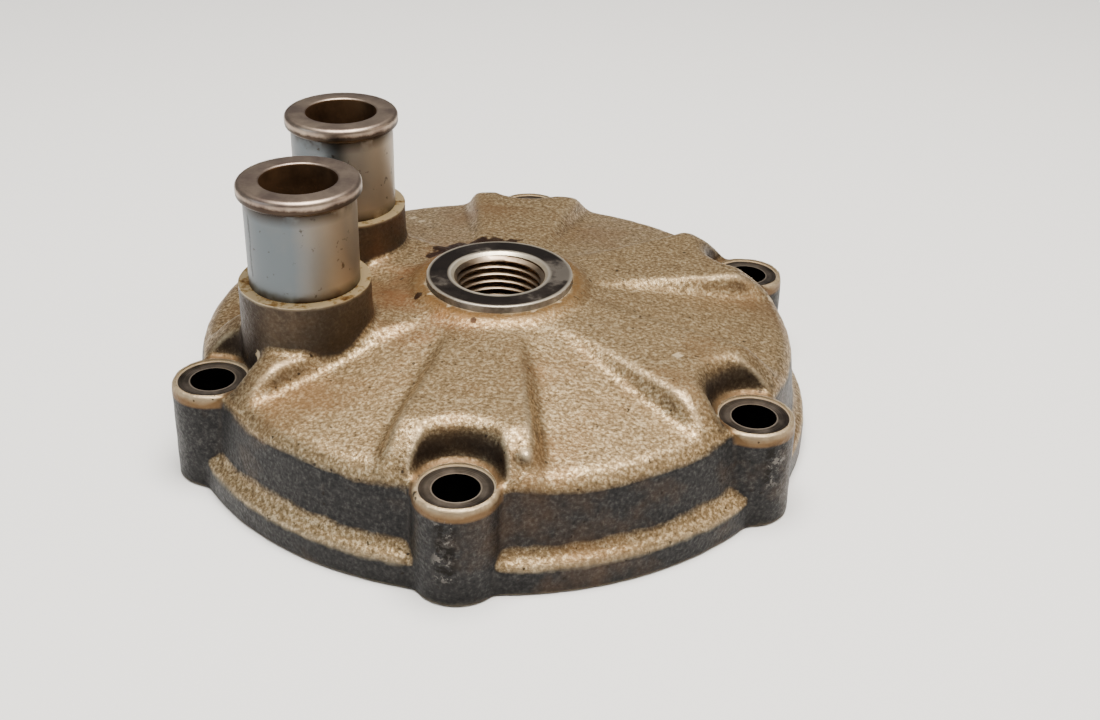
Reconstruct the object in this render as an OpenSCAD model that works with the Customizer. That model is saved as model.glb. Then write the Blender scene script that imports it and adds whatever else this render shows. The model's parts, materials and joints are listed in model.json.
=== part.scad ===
// Two-piece cylinder head for a small liquid-cooled two-stroke engine.
// Origin: plug axis at the joint face. +Z points up through the plug hole.
// The coolant spigots stand on the -X side. All sizes are in millimetres.

/* [Bolts] */
// Number of head bolts, evenly spaced
bolt_count = 6; // [5:1:7]
// Diameter of the circle through the bolt holes
bolt_circle_d = 90; // [84:1:108]
// Diameter of each bolt hole
bolt_hole_d = 6.4; // [5.2:0.1:7.6]
// Diameter of the machined seat under each bolt head
bolt_seat_d = 10.3; // [8.6:0.1:12.4]
// Height of the bolt seats above the joint face
bolt_seat_h = 14.7; // [12.2:0.1:15.4]
// Metal left round each bolt seat
bolt_boss_rim = 0.7; // [0.5:0.1:1.2]
// Depth that each bolt seat is cut into the rough casting
bolt_seat_cut = 0.3; // [0.2:0.1:0.6]

/* [Cover] */
// Metal left between the bolt circle and the rim of the flange
flange_rim = 3.4; // [2.6:0.1:4.2]
// Thickness of the flange at its rim
flange_h = 4; // [3.2:0.1:5]
// Height at which the side wall turns into the dome
shoulder_h = 14; // [12:0.1:15]
// Step from the rim of the flange in to the side wall
wall_step = 2; // [1.4:0.1:2.6]
// Thickness of the dome
dome_wall = 4; // [3.2:0.1:4.6]
// Radius of the coolant jacket where it meets the joint face
jacket_mouth_r = 36.8; // [34:0.1:37.2]
// Drop from the top of the dome to the hoods round the bolt seats
hood_drop = 1.3; // [1:0.1:2]

/* [Plug hole] */
// Height of the spark plug seat above the joint face
plug_seat_h = 23.5; // [22:0.1:28.2]
// Diameter of the spark plug seat
plug_seat_d = 22.4; // [18.7:0.1:24]
// Minor diameter of the spark plug thread
plug_thread_d = 12.65; // [10.6:0.01:13.2]
// Height of the plug seat above the collar of the cover
seat_proud = 1.2; // [0.8:0.1:2]

/* [Combustion insert] */
// Diameter of the cylinder bore that the head closes
cylinder_bore_d = 40; // [36:0.5:42]
// Outside diameter of the insert
insert_d = 57; // [54:0.5:58]
// Thickness of the insert at its rim
insert_rim_h = 5; // [4.2:0.1:5.6]
// Diameter of the combustion bowl
bowl_d = 27; // [23:0.5:30]
// Reach of the spark plug thread
plug_reach = 12.7; // [11:0.1:14]
// Height that the squish band rises to at the bowl
squish_rise = 0.9; // [0.7:0.1:1.2]

/* [Coolant spigots] */
// Outside diameter of each spigot tube
spigot_d = 16; // [13.3:0.1:17]
// Bore of each spigot tube
spigot_bore_d = 11; // [10.4:0.1:12.4]
// Height of the spigot mouths above the joint face
spigot_top_h = 43.1; // [36:0.1:52]
// Height of the cast bosses that hold the spigots
spigot_boss_h = 27.5; // [26.6:0.1:31]
// Depth that each spigot is pressed into its boss
spigot_press_depth = 6.5; // [5.4:0.1:7]
// Distance of the spigots from the plug axis
spigot_circle_r = 30; // [29:0.1:31]
// Half of the angle between the two spigots
spigot_half_angle = 27; // [25:0.5:32]
// Metal round the bore of each spigot boss
spigot_boss_wall = 1.5; // [1.2:0.1:2]
// Height of the lip at each spigot mouth, and how far it stands out
lip_h = 2; // [1.6:0.1:2.6]
lip_proud = 0.8; // [0.5:0.1:1.2]

/* [Seals] */
// Cord diameter of the O-rings
cord_d = 2; // [1.6:0.1:2.2]
// Share of the cord that is left when the ring is squeezed
cord_squeeze = 0.8; // [0.7:0.05:0.9]

/* [Thermostat] */
// Thickness of the thermostat flange
flange_plate_h = 0.8; // [0.6:0.1:1]
// Diameter of the opening in the flange
valve_port_d = 9.2; // [8:0.1:9.4]
// Overlap of the valve disc past the opening
valve_overlap = 0.45; // [0.3:0.05:0.6]
// Distance that the valve opens
valve_travel = 3; // [2:0.1:3.2]
// Diameter of the wax cup
cup_d = 6.4; // [5.3:0.1:6.8]
// Length of the wax cup below the valve disc
cup_len = 7.2; // [6.2:0.1:7.4]
// Diameter of the piston pin
pin_d = 1.6; // [1.2:0.1:2]
// Diameter of the spring wire
spring_wire_d = 0.7; // [0.5:0.05:0.8]
// Height of the bridge above the flange
bridge_h = 4.4; // [3.8:0.1:5.4]
// Distance that the jiggle pin can lift
jiggle_travel = 0.5; // [0.3:0.1:0.6]

/* [Fits] */
// Radial clearance of a piece that slides on a pin
running_clearance = 0.03; // [0.02:0.01:0.08]
// Radial clearance of the insert neck in the cover
neck_clearance = 0.05; // [0.03:0.01:0.2]
// Gap between the closed valve and the flange
valve_gap = 0.1; // [0.05:0.05:0.2]
// Clearance round pieces that pass freely
free_clearance = 0.4; // [0.3:0.05:0.6]

/* [Hidden] */
$fn = 96;
eps = 0.01;
bare_aluminium = "#b9a98a";
machined_aluminium = "#a3a19c";
black_rubber = "#222224";
thermostat_brass = "#b08a48";
bright_steel = "#b4b4b0";

// Bolts
bolt_circle_r = bolt_circle_d / 2;
bolt_hole_r = bolt_hole_d / 2;
bolt_seat_r = bolt_seat_d / 2;
bolt_boss_r = bolt_seat_r + bolt_boss_rim;
bolt_boss_h = bolt_seat_h + bolt_seat_cut;
boss_draft = 0.25;
bolt_start = 90;
bolt_angles = [for (i = [0 : bolt_count - 1]) bolt_start + i * 360 / bolt_count];

// Cover
flange_r = bolt_circle_r + flange_rim;
wall_foot_r = flange_r - wall_step;
wall_draft = 1;
wall_top_r = wall_foot_r - wall_draft;
ledge_h = flange_h + 1.8;
shoulder_run = 1.7;
shoulder_rise = 1.8;
dome_edge_r = wall_top_r - shoulder_run;
dome_edge_h = shoulder_h + shoulder_rise;
neck_r = plug_seat_d / 2;
neck_bore_r = neck_r + neck_clearance;
collar_wall = 1.4;
collar_r = neck_r + collar_wall;
collar_h = plug_seat_h - seat_proud;
collar_step = 0.8;
dome_top_h = collar_h - collar_step;
dome_slope = (dome_top_h - dome_edge_h) / (dome_edge_r - collar_r);
function dome_h(r) = dome_top_h - (r - collar_r) * dome_slope;
clamp_land = 3;
clamp_h = collar_h - dome_wall - collar_step;
jacket_wall = 4.6;
jacket_r = wall_top_r - jacket_wall;
jacket_lip_h = flange_h + 0.5;
web_start_r = collar_r + 1.4;
web_start_w = 5;
web_end_w = 10.8;
hood_end_r = wall_top_r - 0.4;
hood_end_h = shoulder_h + 0.3;
hood_crest_r = bolt_circle_r - 7;
hood_crest_h = dome_top_h - hood_drop;
hood_bend_r = (hood_crest_r + hood_end_r) / 2;
hood_bend_h = hood_crest_h - 0.3 * (hood_crest_h - hood_end_h);
pocket_floor_r = bolt_boss_r + 0.25;
pocket_h = hood_crest_h - bolt_boss_h + 1;
pocket_flare = 0.4;
boss_foot_h = clamp_h - dome_wall + 0.5;

// Insert
thread_r = plug_thread_d / 2;
plug_chamfer = 1.1;
insert_r = insert_d / 2;
bore_r = cylinder_bore_d / 2;
bowl_r = bowl_d / 2;
bowl_top_h = plug_seat_h - plug_reach;
bowl_depth = bowl_top_h - squish_rise;
bowl_sphere_r = (bowl_r * bowl_r + bowl_depth * bowl_depth) / (2 * bowl_depth);
hub_r = neck_r + clamp_land;
hub_foot_h = clamp_h - 3;

// Seals
cord_h = cord_d * cord_squeeze;
cord_w = cord_d * 1.15;
groove_w = cord_w + 0.1;
coolant_seal_r = (jacket_mouth_r + bolt_circle_r - bolt_hole_r) / 2;
chamber_seal_r = (bore_r + insert_r) / 2;
neck_groove_r = neck_bore_r - cord_h;
neck_groove_h = clamp_h + 1.6;

// Spigots
spigot_r = spigot_d / 2;
spigot_bore_r = spigot_bore_d / 2;
spigot_boss_r = spigot_r + spigot_boss_wall;
spigot_foot_h = spigot_boss_h - spigot_press_depth;
front_spigot_angle = 180 + spigot_half_angle;
rear_spigot_angle = 180 - spigot_half_angle;

// Thermostat, hung below the front spigot. Its widths follow the spigot's.
follow = spigot_r / 8;
seal_h = 3.2;
seal_wall = follow;
seal_foot_h = spigot_foot_h - seal_h;
seal_bore_r = spigot_r - seal_wall;
plate_foot_h = seal_foot_h + 0.6;
plate_top_h = plate_foot_h + flange_plate_h;
plate_r = seal_bore_r + 0.6;
port_r = follow * valve_port_d / 2;
valve_r = port_r + valve_overlap;
valve_h = 0.8;
valve_top_h = plate_foot_h - valve_gap;
valve_foot_h = valve_top_h - valve_h;
cup_r = follow * cup_d / 2;
cup_wall = 0.5;
cup_foot_h = valve_foot_h - cup_len;
pin_r = pin_d / 2;
guide_bore_r = pin_r + running_clearance;
guide_neck_r = pin_r + 1;
guide_h = 1.5;
pellet_h = 3.2;
boot_foot_h = cup_foot_h + cup_wall + pellet_h;
boot_top_h = valve_top_h - guide_h;
boot_floor = 0.4;
cage_foot_h = cup_foot_h + 0.2;
cage_plate_h = 0.6;
cage_top_h = cage_foot_h + cage_plate_h;
cage_hole_r = cup_r + free_clearance;
leg_w = 2.4;
cage_leg_t = 0.5;
cage_leg_r = valve_r + free_clearance;
bridge_leg_t = 0.5;
bridge_leg_r = port_r + 0.05;
bridge_top_h = plate_top_h + bridge_h;
bridge_bar_h = 0.7;
bridge_boss_r = pin_r + 0.8;
spring_mean_r = (cage_hole_r + valve_r) / 2;
circlip_h = 0.8;
circlip_bite = 0.5;
circlip_ring_w = 1.3;
circlip_gap_w = 6;
jiggle_hole_r = 0.5 * follow;
jiggle_shank_r = 0.3 * follow;
jiggle_head_r = 0.75 * follow;
jiggle_head_h = 0.3;
jiggle_circle_r = (valve_r + seal_bore_r) / 2;
jiggle_angle = 45;

// Ring with a rectangular section
module ring(inner_r, outer_r, h) {
    difference() {
        cylinder(r = outer_r, h = h);
        translate([0, 0, -eps]) cylinder(r = inner_r, h = h + 2 * eps);
    }
}

// Puts children at a radius from the plug axis
module at_polar(angle, radius) {
    rotate([0, 0, angle]) translate([radius, 0, 0]) children();
}

module at_bolts() {
    for (a = bolt_angles) at_polar(a, bolt_circle_r) children();
}

module at_spigots() {
    for (a = [front_spigot_angle, rear_spigot_angle]) at_polar(a, spigot_circle_r) children();
}

module at_thermostat() {
    at_polar(front_spigot_angle, spigot_circle_r) children();
}

// Section of a squeezed O-ring: a flat-sided band with round ends
module cord_section(w, h) {
    end_r = min(w, h) / 2;
    flat_w = w - 2 * end_r;
    flat_h = h - 2 * end_r;
    square([w - 2 * end_r + eps, h], center = true);
    square([w, h - 2 * end_r + eps], center = true);
    for (s = [-1, 1])
        translate([s * flat_w / 2, s * flat_h / 2]) circle(r = end_r);
}

// Outside of the casting without bosses
module cover_outside() {
    rotate_extrude($fn = 180)
        polygon([
            [0, 0], [flange_r, 0], [flange_r, flange_h], [wall_foot_r + 0.6, flange_h + 0.8],
            [wall_foot_r, ledge_h], [wall_top_r, shoulder_h], [dome_edge_r, dome_edge_h],
            [collar_r + 0.6, dome_h(collar_r + 0.6)], [collar_r, collar_h], [0, collar_h]
        ]);
}

// Raised web that widens from the plug collar into a hood round each bolt seat
module webs() {
    intersection() {
        rotate_extrude($fn = 180)
            polygon([
                [0, 0], [hood_end_r, 0], [hood_end_r, hood_end_h], [hood_bend_r, hood_bend_h],
                [hood_crest_r, hood_crest_h], [web_start_r, dome_h(web_start_r)],
                [0, dome_h(web_start_r)]
            ]);
        linear_extrude(height = collar_h)
            for (a = bolt_angles)
                rotate(a)
                    polygon([
                        [web_start_r - 1, -web_start_w], [wall_top_r, -web_end_w],
                        [wall_top_r, web_end_w], [web_start_r - 1, web_start_w]
                    ]);
    }
}

// Cast hollow in the hood that lets a socket reach the bolt head
module bolt_pocket() {
    translate([0, 0, bolt_boss_h])
        cylinder(r1 = pocket_floor_r, r2 = pocket_floor_r + pocket_flare * pocket_h, h = pocket_h);
}

// Coolant space inside the cover
module jacket() {
    difference() {
        rotate_extrude($fn = 180)
            polygon([
                [0, -1], [jacket_mouth_r, -1], [jacket_mouth_r, jacket_lip_h],
                [jacket_r, jacket_lip_h + 3], [jacket_r, shoulder_h - 2.5],
                [jacket_r - 3, dome_h(jacket_r - 3) - dome_wall],
                [hub_r + 1.5, dome_h(hub_r + 1.5) - dome_wall], [hub_r, clamp_h], [0, clamp_h]
            ]);
        at_bolts() cylinder(r = bolt_boss_r + boss_draft, h = bolt_seat_h);
    }
}

module head_cover() {
    color(bare_aluminium)
        difference() {
            union() {
                difference() {
                    union() {
                        cover_outside();
                        webs();
                        at_bolts()
                            cylinder(r1 = bolt_boss_r + boss_draft, r2 = bolt_boss_r,
                                h = bolt_boss_h);
                    }
                    at_bolts() bolt_pocket();
                    jacket();
                }
                at_spigots()
                    translate([0, 0, boss_foot_h])
                        cylinder(r = spigot_boss_r, h = spigot_boss_h - boss_foot_h);
            }
            at_bolts() {
                translate([0, 0, bolt_seat_h]) cylinder(r = bolt_seat_r, h = collar_h);
                translate([0, 0, -eps]) cylinder(r = bolt_hole_r, h = collar_h);
            }
            translate([0, 0, -eps]) cylinder(r = neck_bore_r, h = collar_h + 1);
            at_spigots()
                translate([0, 0, boss_foot_h - 2 * dome_wall / 3])
                    cylinder(r = spigot_r, h = spigot_boss_h);
            at_thermostat()
                translate([0, 0, seal_foot_h - circlip_h])
                    cylinder(r = spigot_r + circlip_bite, h = circlip_h);
            translate([0, 0, -eps])
                ring(coolant_seal_r - groove_w / 2, coolant_seal_r + groove_w / 2, cord_h + eps);
        }
}

module combustion_insert() {
    color(machined_aluminium)
        difference() {
            rotate_extrude($fn = 180)
                difference() {
                    polygon([
                        [0, 0], [insert_r, 0], [insert_r, insert_rim_h - 0.6],
                        [insert_r - 0.6, insert_rim_h], [hub_r, hub_foot_h], [hub_r, clamp_h],
                        [neck_r, clamp_h], [neck_r, plug_seat_h - 0.3],
                        [neck_r - 0.3, plug_seat_h], [0, plug_seat_h]
                    ]);
                    polygon([[0, -1], [bore_r, -1], [bore_r, 0], [bowl_r, squish_rise], [0, squish_rise]]);
                    translate([chamber_seal_r - groove_w / 2, -1]) square([groove_w, cord_h + 1]);
                    translate([neck_groove_r, neck_groove_h]) square([cord_h, groove_w]);
                }
            translate([0, 0, bowl_top_h - bowl_sphere_r]) sphere(r = bowl_sphere_r, $fn = 128);
            cylinder(r = thread_r, h = plug_seat_h + 1);
            translate([0, 0, plug_seat_h - plug_chamfer])
                cylinder(r1 = thread_r, r2 = thread_r + plug_chamfer + eps, h = plug_chamfer + eps);
        }
}

module neck_o_ring() {
    color(black_rubber)
        rotate_extrude()
            translate([neck_groove_r + cord_h / 2, neck_groove_h + groove_w / 2])
                cord_section(cord_h, cord_w);
}

// O-ring that lies in a groove in the joint face
module face_o_ring(ring_r) {
    color(black_rubber)
        rotate_extrude($fn = 180)
            translate([ring_r, cord_h / 2]) cord_section(cord_w, cord_h);
}

module chamber_o_ring() { face_o_ring(chamber_seal_r); }
module coolant_o_ring() { face_o_ring(coolant_seal_r); }

// Tube with a rounded lip at its mouth, so that a hose stays on
module spigot() {
    color(bright_steel)
        rotate_extrude()
            difference() {
                union() {
                    translate([0, spigot_foot_h])
                        square([spigot_r, spigot_top_h - spigot_foot_h]);
                    translate([0, spigot_top_h - lip_h])
                        square([spigot_r + lip_proud - lip_h / 2, lip_h]);
                    translate([spigot_r + lip_proud - lip_h / 2, spigot_top_h - lip_h / 2])
                        circle(r = lip_h / 2, $fn = 48);
                }
                translate([-1, 0]) square([spigot_bore_r + 1, spigot_top_h + 1]);
            }
}

module front_spigot() { at_polar(front_spigot_angle, spigot_circle_r) spigot(); }
module rear_spigot() { at_polar(rear_spigot_angle, spigot_circle_r) spigot(); }

module thermostat_flange() {
    color(thermostat_brass)
        at_thermostat()
            translate([0, 0, plate_foot_h])
                difference() {
                    ring(port_r, plate_r, flange_plate_h);
                    rotate([0, 0, jiggle_angle])
                        translate([jiggle_circle_r, 0, -eps])
                            cylinder(r = jiggle_hole_r, h = flange_plate_h + 2 * eps, $fn = 32);
                }
}

// Two straps that stand on opposite sides, each a slice of a ring
module straps(inner_r, thickness, h) {
    intersection() {
        ring(inner_r, inner_r + thickness, h);
        translate([-inner_r - thickness, -leg_w / 2, 0])
            cube([2 * (inner_r + thickness), leg_w, h]);
    }
}

module thermostat_bridge() {
    color(bright_steel)
        at_thermostat()
            difference() {
                union() {
                    translate([0, 0, plate_top_h]) straps(bridge_leg_r, bridge_leg_t, bridge_h);
                    translate([0, 0, bridge_top_h - bridge_bar_h])
                        intersection() {
                            cylinder(r = bridge_leg_r + bridge_leg_t, h = bridge_bar_h);
                            translate([-port_r * 2, -leg_w / 2, 0])
                                cube([port_r * 4, leg_w, bridge_bar_h]);
                        }
                    translate([0, 0, bridge_top_h - bridge_bar_h])
                        cylinder(r = bridge_boss_r, h = bridge_bar_h + 0.5);
                }
                cylinder(r = pin_r, h = spigot_top_h);
            }
}

module thermostat_cage() {
    color(bright_steel)
        at_thermostat() {
            translate([0, 0, cage_foot_h])
                ring(cage_hole_r, cage_leg_r + eps, cage_plate_h);
            rotate([0, 0, 90])
                translate([0, 0, cage_foot_h])
                    straps(cage_leg_r, cage_leg_t, plate_foot_h - cage_foot_h);
        }
}

module thermostat_seal() {
    color(black_rubber)
        at_thermostat()
            difference() {
                translate([0, 0, seal_foot_h]) ring(seal_bore_r, spigot_r, seal_h);
                translate([0, 0, plate_foot_h]) cylinder(r = plate_r, h = flange_plate_h);
            }
}

module thermostat_circlip() {
    color(bright_steel)
        at_thermostat()
            translate([0, 0, seal_foot_h - circlip_h])
                difference() {
                    ring(spigot_r + circlip_bite - circlip_ring_w, spigot_r + circlip_bite, circlip_h);
                    translate([0, -circlip_gap_w / 2, -eps])
                        cube([2 * spigot_r, circlip_gap_w, circlip_h + 2 * eps]);
                }
}

module piston_pin() {
    color(bright_steel)
        at_thermostat()
            translate([0, 0, boot_foot_h + boot_floor])
                cylinder(r = pin_r, h = bridge_top_h + 0.8 - boot_foot_h - boot_floor, $fn = 48);
}

// Envelope of the coil between the cage and the valve disc
module main_spring() {
    color(bright_steel)
        at_thermostat()
            translate([0, 0, cage_top_h])
                ring(spring_mean_r - spring_wire_d / 2, spring_mean_r + spring_wire_d / 2,
                    valve_foot_h - cage_top_h);
}

module main_valve() {
    color(thermostat_brass)
        at_thermostat()
            translate([0, 0, valve_foot_h]) ring(guide_neck_r, valve_r, valve_h);
}

module wax_cup() {
    color(thermostat_brass)
        at_thermostat()
            difference() {
                translate([0, 0, cup_foot_h]) cylinder(r = cup_r, h = cup_len);
                translate([0, 0, cup_foot_h + cup_wall]) cylinder(r = cup_r - cup_wall, h = cup_len);
            }
}

module wax_pellet() {
    color("#c9a64a")
        at_thermostat()
            translate([0, 0, cup_foot_h + cup_wall])
                cylinder(r = cup_r - cup_wall, h = pellet_h);
}

module rubber_boot() {
    color(black_rubber)
        at_thermostat()
            difference() {
                translate([0, 0, boot_foot_h])
                    cylinder(r = cup_r - cup_wall, h = boot_top_h - boot_foot_h);
                translate([0, 0, boot_foot_h + boot_floor - running_clearance])
                    cylinder(r = guide_bore_r, h = cup_len, $fn = 48);
            }
}

module capsule_guide() {
    color(thermostat_brass)
        at_thermostat()
            difference() {
                union() {
                    translate([0, 0, boot_top_h])
                        cylinder(r = cup_r - cup_wall, h = valve_foot_h - boot_top_h);
                    translate([0, 0, boot_top_h])
                        cylinder(r = guide_neck_r, h = plate_top_h + 0.6 - boot_top_h);
                }
                translate([0, 0, boot_top_h - eps]) cylinder(r = guide_bore_r, h = cup_len, $fn = 48);
            }
}

module jiggle_pin() {
    shank_h = flange_plate_h + jiggle_travel;
    color(bright_steel)
        at_thermostat()
            rotate([0, 0, jiggle_angle])
                translate([jiggle_circle_r, 0, plate_top_h - shank_h]) {
                    cylinder(r = jiggle_shank_r, h = shank_h, $fn = 32);
                    translate([0, 0, -jiggle_head_h])
                        cylinder(r = jiggle_head_r, h = jiggle_head_h, $fn = 32);
                    translate([0, 0, shank_h])
                        cylinder(r = jiggle_head_r, h = jiggle_head_h, $fn = 32);
                }
}

head_cover();
combustion_insert();
neck_o_ring();
chamber_o_ring();
coolant_o_ring();
front_spigot();
rear_spigot();
thermostat_flange();
thermostat_bridge();
thermostat_cage();
thermostat_seal();
thermostat_circlip();
piston_pin();
main_spring();
main_valve();
wax_cup();
wax_pellet();
rubber_boot();
capsule_guide();
jiggle_pin();
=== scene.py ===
"""Looks of the cylinder head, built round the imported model.

Everything is in metres, in the row frame: +Z up through the plug hole, spigots on the -X side.
"""

import json
import math

import bmesh
import bpy
from mathutils import Matrix, Vector, noise

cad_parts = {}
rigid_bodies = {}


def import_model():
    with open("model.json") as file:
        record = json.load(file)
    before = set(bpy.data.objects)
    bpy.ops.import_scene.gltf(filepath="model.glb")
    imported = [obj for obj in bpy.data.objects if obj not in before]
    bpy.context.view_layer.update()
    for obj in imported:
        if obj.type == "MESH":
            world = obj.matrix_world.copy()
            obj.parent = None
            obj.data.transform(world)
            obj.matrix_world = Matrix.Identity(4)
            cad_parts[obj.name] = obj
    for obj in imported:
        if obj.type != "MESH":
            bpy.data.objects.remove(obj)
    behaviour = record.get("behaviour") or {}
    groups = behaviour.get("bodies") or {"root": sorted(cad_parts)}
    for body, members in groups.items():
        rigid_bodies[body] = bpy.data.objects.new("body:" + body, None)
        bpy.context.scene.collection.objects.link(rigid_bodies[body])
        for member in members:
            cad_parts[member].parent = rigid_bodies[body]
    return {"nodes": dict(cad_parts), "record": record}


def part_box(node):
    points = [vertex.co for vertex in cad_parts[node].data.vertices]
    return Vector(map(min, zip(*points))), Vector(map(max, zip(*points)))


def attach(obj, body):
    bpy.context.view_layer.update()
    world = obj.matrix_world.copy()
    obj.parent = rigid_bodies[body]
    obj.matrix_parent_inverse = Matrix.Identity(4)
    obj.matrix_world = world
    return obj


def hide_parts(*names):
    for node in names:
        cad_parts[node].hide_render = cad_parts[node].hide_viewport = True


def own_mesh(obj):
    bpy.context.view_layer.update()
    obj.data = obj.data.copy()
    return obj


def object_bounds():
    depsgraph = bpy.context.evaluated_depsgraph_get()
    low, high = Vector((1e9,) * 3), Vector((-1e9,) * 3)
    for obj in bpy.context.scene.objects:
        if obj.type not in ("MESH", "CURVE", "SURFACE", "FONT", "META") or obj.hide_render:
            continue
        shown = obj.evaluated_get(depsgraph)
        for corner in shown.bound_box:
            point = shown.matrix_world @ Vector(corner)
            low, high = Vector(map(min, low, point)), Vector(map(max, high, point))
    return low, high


for leftover in list(bpy.data.objects):
    bpy.data.objects.remove(leftover)
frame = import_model()
cad_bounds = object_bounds()

MM = 0.001
TURN = 2 * math.pi
UP = Vector((0, 0, 1))

# ---------------------------------------------------------------- sizes, from the frame

mounts = {m["name"]: m for m in frame["record"]["mounts"]}
cover_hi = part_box("head_cover")[1]
spigot_lo, spigot_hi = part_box("front_spigot")

BOLT_COUNT = mounts["head_bolts"]["dims"]["count"]
BOLT_CIRCLE_R = mounts["head_bolts"]["dims"]["pcd_mm"] / 2 * MM
BOLT_HOLE_R = mounts["head_bolts"]["dims"]["hole_r_mm"] * MM
BOLT_ANGLES = [math.radians(90 + i * 360 / BOLT_COUNT) for i in range(BOLT_COUNT)]
BOSS_R = cover_hi.y - BOLT_CIRCLE_R
SPIGOT_BOSS_H = cover_hi.z
SEAT_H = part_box("combustion_insert")[1].z
SPIGOT_TOP = spigot_hi.z
SPIGOT_FOOT = spigot_lo.z
LIP_R = (spigot_hi.x - spigot_lo.x) / 2
SPIGOT_R = mounts["front_hose_spigot"]["dims"]["r_mm"] * MM
SPIGOTS = {n: Vector(mounts[n + "_hose_spigot"]["pos_m"]) * Vector((1, 1, 0)) for n in ("front", "rear")}

BOLT_SEAT_H = 14.7 * MM
BOLT_SEAT_R = 5.15 * MM
NECK_BORE_R = 11.25 * MM
COLLAR_R = 12.6 * MM
COLLAR_H = SEAT_H - 1.2 * MM
DOME_TOP_H = COLLAR_H - 0.8 * MM
DOME_EDGE = Vector((43.7, 15.8)) * MM
SPIGOT_BORE_R = 5.5 * MM
SPIGOT_BOSS_R = 9.5 * MM
CLAMP_H = 17.5 * MM
GRAIN = 0.26 * MM


def dome_height(r):
    """Height of the dome's outer skin at a radius."""
    fall = (DOME_TOP_H - DOME_EDGE.y) / (DOME_EDGE.x - COLLAR_R)
    return DOME_TOP_H - (r - COLLAR_R) * fall


def bolt_points():
    return [Vector((BOLT_CIRCLE_R * math.cos(a), BOLT_CIRCLE_R * math.sin(a), 0)) for a in BOLT_ANGLES]


# ---------------------------------------------------------------- camera, light and floor

CAMERA_AT = Vector((23.92, -196.18, 122.26)) * MM
CAMERA_YAW_PITCH_ROLL = (-4.61, 30.0, -1.51)
CAMERA_LENS = 47.06


def make_camera():
    """Looks down on the head from the front, a little from the right."""
    yaw, pitch, roll = (math.radians(angle) for angle in CAMERA_YAW_PITCH_ROLL)
    forward = Vector((math.sin(yaw) * math.cos(pitch), math.cos(yaw) * math.cos(pitch), -math.sin(pitch)))
    level = Vector((math.cos(yaw), -math.sin(yaw), 0))
    right = Matrix.Rotation(roll, 3, forward) @ level
    up = right.cross(forward)
    turn = Matrix((right, up, -forward)).transposed().to_4x4()
    data = bpy.data.cameras.new("camera")
    data.sensor_width = 36
    data.lens = CAMERA_LENS
    data.clip_start = 0.01
    camera = bpy.data.objects.new("camera", data)
    camera.matrix_world = Matrix.Translation(CAMERA_AT) @ turn
    bpy.context.scene.collection.objects.link(camera)
    bpy.context.scene.camera = camera


def area_light(name, place, target, size, watts, colour):
    data = bpy.data.lights.new(name, "AREA")
    data.shape = "DISK"
    data.size = size
    data.energy = watts
    data.color = colour
    lamp = bpy.data.objects.new(name, data)
    lamp.location = place
    lamp.rotation_euler = (Vector(target) - Vector(place)).to_track_quat("-Z", "Y").to_euler()
    bpy.context.scene.collection.objects.link(lamp)


def make_lights():
    area_light("sky_panel", (0.03, -0.06, 0.55), (0, 0, 0.01), 0.42, 9.0, (1.0, 0.96, 0.9))
    area_light("left_panel", (-0.5, -0.3, 0.2), (0, 0, 0.02), 0.25, 0.6, (0.7, 0.86, 1.0))
    area_light("right_panel", (0.6, 0.0, 0.25), (0, 0, 0.02), 0.25, 0.6, (1.0, 0.85, 0.68))
    world = bpy.data.worlds.new("studio")
    world.use_nodes = True
    back = world.node_tree.nodes["Background"]
    back.inputs["Color"].default_value = (0.9, 0.93, 1.0, 1)
    back.inputs["Strength"].default_value = 0.16
    bpy.context.scene.world = world


# ---------------------------------------------------------------- materials

def srgb(hex_colour):
    """Linear RGBA of an sRGB hex colour."""
    parts = [int(hex_colour[i:i + 2], 16) / 255 for i in (1, 3, 5)]
    return [c / 12.92 if c <= 0.04045 else ((c + 0.055) / 1.055) ** 2.4 for c in parts] + [1]


def new_material(name):
    material = bpy.data.materials.new(name)
    material.use_nodes = True
    return material, material.node_tree.nodes["Principled BSDF"]


def link(material, output, socket):
    material.node_tree.links.new(output, socket)


def add_node(material, kind, settings=None, links=None):
    """Adds a node, sets its properties or inputs, and links inputs to other nodes' outputs."""
    tree = material.node_tree
    node = tree.nodes.new(kind)
    for key, value in (settings or {}).items():
        if isinstance(key, str) and hasattr(node, key):
            setattr(node, key, value)
        else:
            node.inputs[key].default_value = value
    for key, output in (links or {}).items():
        tree.links.new(output, node.inputs[key])
    return node


def ramp(material, source, stops):
    """Colour ramp from (position, hex colour) stops."""
    node = add_node(material, "ShaderNodeValToRGB", links={"Fac": source})
    elements = node.color_ramp.elements
    while len(elements) < len(stops):
        elements.new(0.5)
    for element, (place, colour) in zip(elements, stops):
        element.position = place
        element.color = srgb(colour)
    return node.outputs["Color"]


def mix_colour(material, factor, a, b):
    """Mix of two colours, each a hex string or an output."""
    node = add_node(material, "ShaderNodeMix", {"data_type": "RGBA"})
    for socket, value in ((node.inputs[0], factor), (node.inputs[6], a), (node.inputs[7], b)):
        if isinstance(value, str):
            socket.default_value = srgb(value)
        elif isinstance(value, (int, float)):
            socket.default_value = value
        else:
            link(material, value, socket)
    return node.outputs[2]


def noise_texture(material, size, detail=3, roughness=0.55, vector=None):
    """Noise whose features are about size metres across."""
    vector = vector or add_node(material, "ShaderNodeTexCoord").outputs["Object"]
    return add_node(material, "ShaderNodeTexNoise",
                    {"Scale": 0.5 / size, "Detail": detail, "Roughness": roughness},
                    {"Vector": vector}).outputs["Fac"]


def scaled(material, source, low, high, to_low=0.0, to_high=1.0):
    """Source mapped from low..high to to_low..to_high, and held there."""
    return add_node(material, "ShaderNodeMapRange",
                    {"From Min": low, "From Max": high, "To Min": to_low, "To Max": to_high},
                    {"Value": source}).outputs["Result"]


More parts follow.
